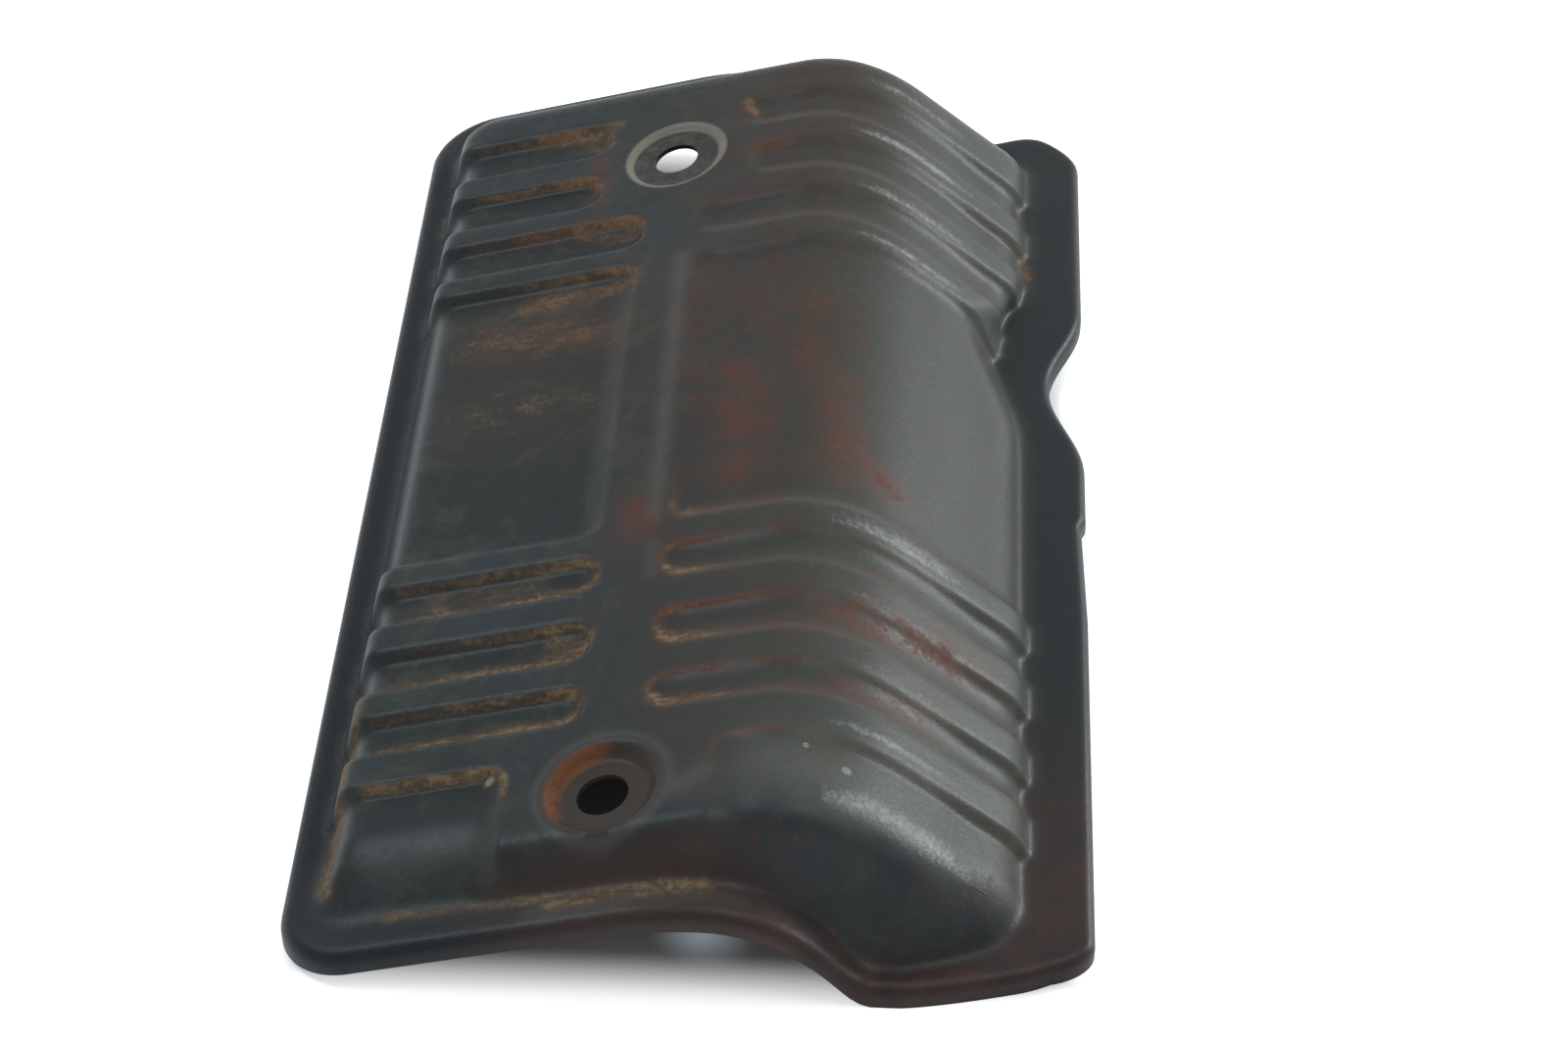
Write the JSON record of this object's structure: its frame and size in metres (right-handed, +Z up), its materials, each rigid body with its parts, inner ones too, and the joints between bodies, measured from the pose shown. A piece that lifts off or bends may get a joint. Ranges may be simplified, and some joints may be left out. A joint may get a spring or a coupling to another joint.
{
  "type": "exhaust heat shield",
  "caption": "Pressed sheet-steel heat shield with a tilted, beaded crown inside a lipped flange, held by bolts in two sunken seats.",
  "frame": {"origin": "centre of the bounding box at its base, level with the lip's lower edge", "axes": "X across the shield from its long wall to its sloping side, Y along it from the arched front run to the back, Z up out of the crown"},
  "size_m": [0.137, 0.239, 0.0343],
  "materials": {
    "paint": "satin heat-resistant paint, dusty and rusted in places"
  },
  "bodies": {
    "root": {"heat_shield": "paint"}
  },
  "joints": []
}
